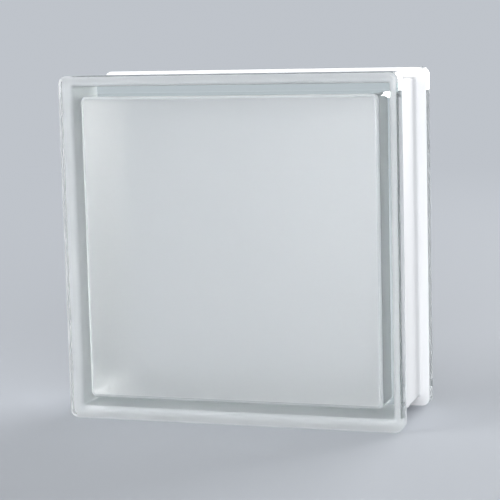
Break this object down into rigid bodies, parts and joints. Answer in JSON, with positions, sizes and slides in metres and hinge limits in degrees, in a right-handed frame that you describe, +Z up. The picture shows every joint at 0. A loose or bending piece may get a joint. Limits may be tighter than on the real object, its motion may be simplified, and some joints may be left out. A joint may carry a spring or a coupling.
{
  "type": "glass block",
  "caption": "Square hollow glass wall block of two fused pressed halves, with clear rims and a white coated mortar channel.",
  "frame": {"origin": "middle of the block's footprint, on the plane that the two rims stand on", "axes": "+Z up, +Y from the front face to the rear face, +X to the right as seen from the front"},
  "size_m": [0.19, 0.08, 0.19],
  "materials": {
    "pressed_glass": "clear pressed glass, fire polished outside, finely misted on the inside of the panes",
    "edge_coating": "opaque white brushed coating, satin"
  },
  "bodies": {
    "root": {"front_half": "pressed_glass", "rear_half": "pressed_glass", "edge_coating": "edge_coating"}
  },
  "joints": []
}
